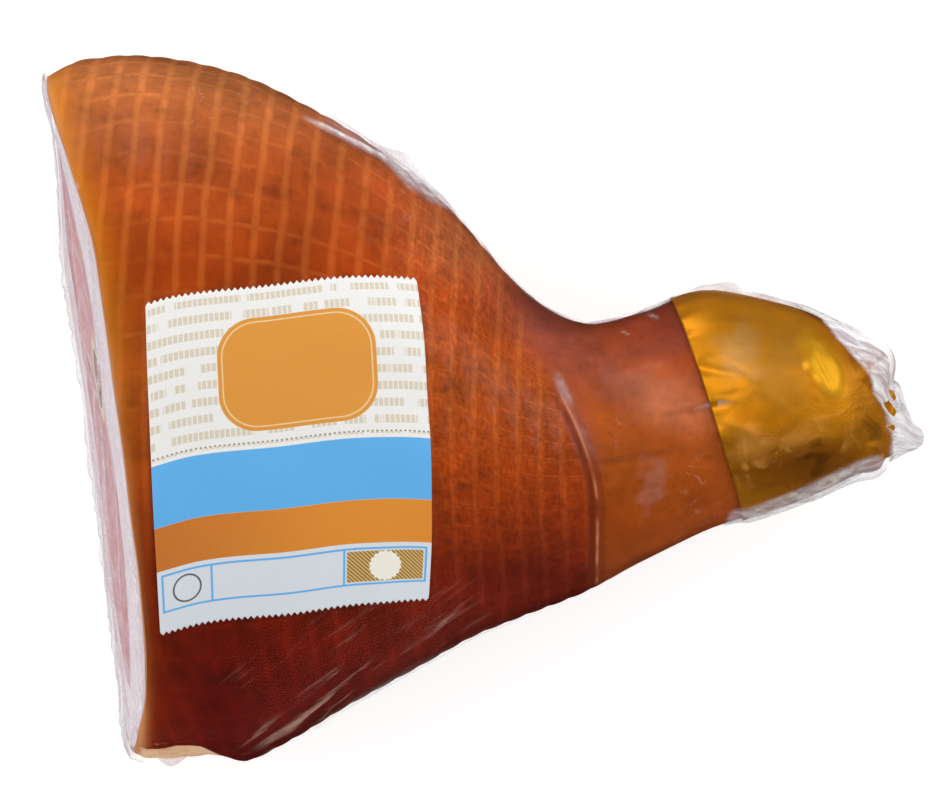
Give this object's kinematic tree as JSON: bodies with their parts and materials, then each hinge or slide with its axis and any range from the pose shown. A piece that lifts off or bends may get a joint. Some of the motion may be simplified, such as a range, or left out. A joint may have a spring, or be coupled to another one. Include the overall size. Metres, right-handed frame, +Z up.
{
  "type": "smoked ham",
  "caption": "Shank half of a smoked leg of ham on the bone, lying flat, with a gold foil cap over the hock, a paper label and clear vacuum film.",
  "frame": {"origin": "centre of the underside's bounding rectangle, on the surface the ham lies on", "axes": "+X from the cut face to the hock, +Y across the leg, +Z up through its rounded outer side"},
  "size_m": [0.3396, 0.272, 0.1516],
  "materials": {
    "smoked_ham": "wet smoked rind, net-marked, with pink meat and pale fat at the cut",
    "gold_foil": "crumpled gold foil",
    "printed_paper": "white printed paper with blue and orange bands",
    "clear_film": "clear glossy shrink film"
  },
  "bodies": {
    "root": {"ham": "smoked_ham", "hock_foil": "gold_foil", "label": "printed_paper", "vacuum_film": "clear_film"}
  },
  "joints": []
}
